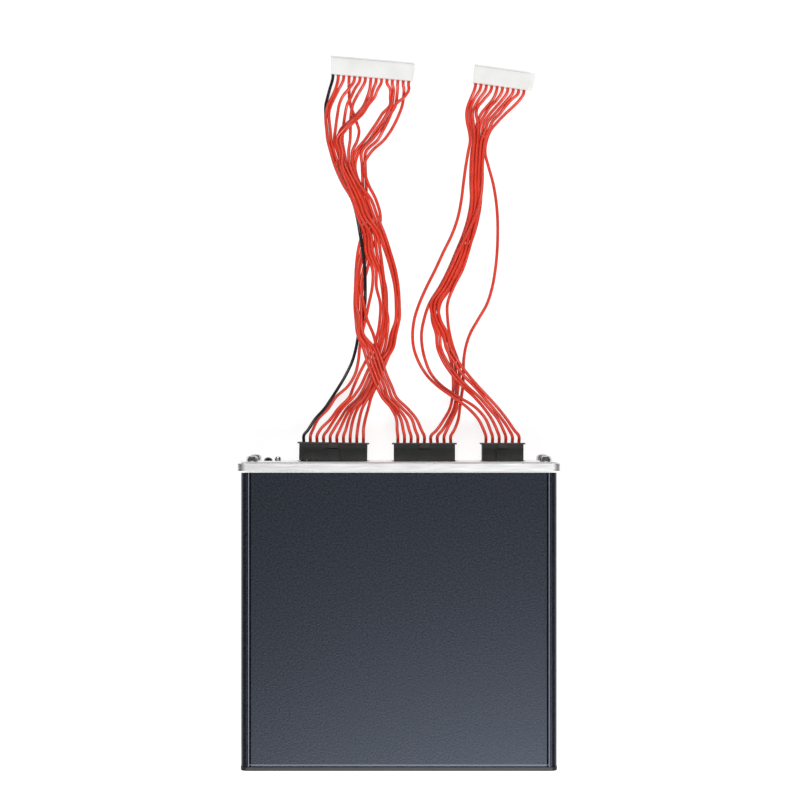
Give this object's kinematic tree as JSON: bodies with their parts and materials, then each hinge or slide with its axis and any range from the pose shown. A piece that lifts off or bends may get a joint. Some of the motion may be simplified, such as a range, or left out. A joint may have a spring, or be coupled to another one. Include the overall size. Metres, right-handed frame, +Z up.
{
  "type": "battery management board",
  "caption": "Flat black extruded housing with a silver connector plate; three black plugs lead bundled sense wires to white plugs.",
  "frame": {"origin": "centre of the sleeve's underside, on the table", "axes": "+X across the sleeve, +Y along it towards the plugs and out of the front plate, +Z up from the table"},
  "size_m": [0.1456, 0.3235, 0.032],
  "materials": {
    "black_anodised": "black anodised aluminium, bead-blasted satin",
    "black_plate": "black coated steel sheet, satin",
    "silver_anodised": "clear anodised aluminium with polished chamfers",
    "screw_steel": "bright plated steel",
    "black_screw": "black oxide steel",
    "solder_mask": "green solder mask on glass laminate",
    "black_nylon": "black nylon, fine moulded texture",
    "tinned_brass": "tin-plated brass",
    "white_nylon": "natural white nylon, satin",
    "chip_epoxy": "black moulding epoxy",
    "crystal_can": "pressed nickel-plated can",
    "ferrite": "dark grey ferrite, ground",
    "capacitor_sleeve": "dark blue shrink sleeve",
    "thermal_rubber": "grey-blue silicone heat pad",
    "clear_sheet": "thin insulating polyester sheet",
    "led_epoxy": "diffused epoxy",
    "smoked_lens": "dark polished acrylic",
    "red_pvc": "red PVC insulation, semi-gloss",
    "black_pvc": "black PVC insulation, glossy"
  },
  "bodies": {
    "root": {"housing_sleeve": "black_anodised", "front_plate": "silver_anodised", "rear_plate": "black_plate", "front_screws": "screw_steel", "rear_screws": "black_screw", "circuit_board": "solder_mask", "header_left": "black_nylon", "header_middle": "black_nylon", "header_right": "black_nylon", "header_pins": "tinned_brass", "black_plug_left": "black_nylon", "black_plug_middle": "black_nylon", "black_plug_right": "black_nylon", "black_plug_contacts": "tinned_brass", "white_plug_left": "white_nylon", "white_plug_right": "white_nylon", "white_plug_contacts": "tinned_brass", "microcontroller": "chip_epoxy", "monitor_chips": "chip_epoxy", "isolator_chip": "chip_epoxy", "crystal": "crystal_can", "supply_inductor": "ferrite", "filter_capacitors": "capacitor_sleeve", "balance_transistors": "chip_epoxy", "balance_resistors": "chip_epoxy", "thermal_pad": "thermal_rubber", "insulating_sheet": "clear_sheet", "status_led": "led_epoxy", "light_pipe": "smoked_lens", "ground_screw": "screw_steel", "sense_wire_01": "black_pvc", "sense_wire_02": "red_pvc", "sense_wire_03": "red_pvc", "sense_wire_04": "red_pvc", "sense_wire_05": "red_pvc", "sense_wire_06": "red_pvc", "sense_wire_07": "red_pvc", "sense_wire_08": "red_pvc", "sense_wire_09": "red_pvc", "sense_wire_10": "red_pvc", "sense_wire_11": "red_pvc", "sense_wire_12": "red_pvc", "sense_wire_13": "red_pvc", "sense_wire_14": "red_pvc", "sense_wire_15": "red_pvc", "sense_wire_16": "red_pvc", "sense_wire_17": "red_pvc", "sense_wire_18": "red_pvc", "sense_wire_19": "red_pvc", "sense_wire_20": "red_pvc", "sense_wire_21": "red_pvc", "sense_wire_22": "red_pvc", "sense_wire_23": "red_pvc", "sense_wire_24": "red_pvc", "sense_wire_25": "red_pvc"}
  },
  "joints": []
}
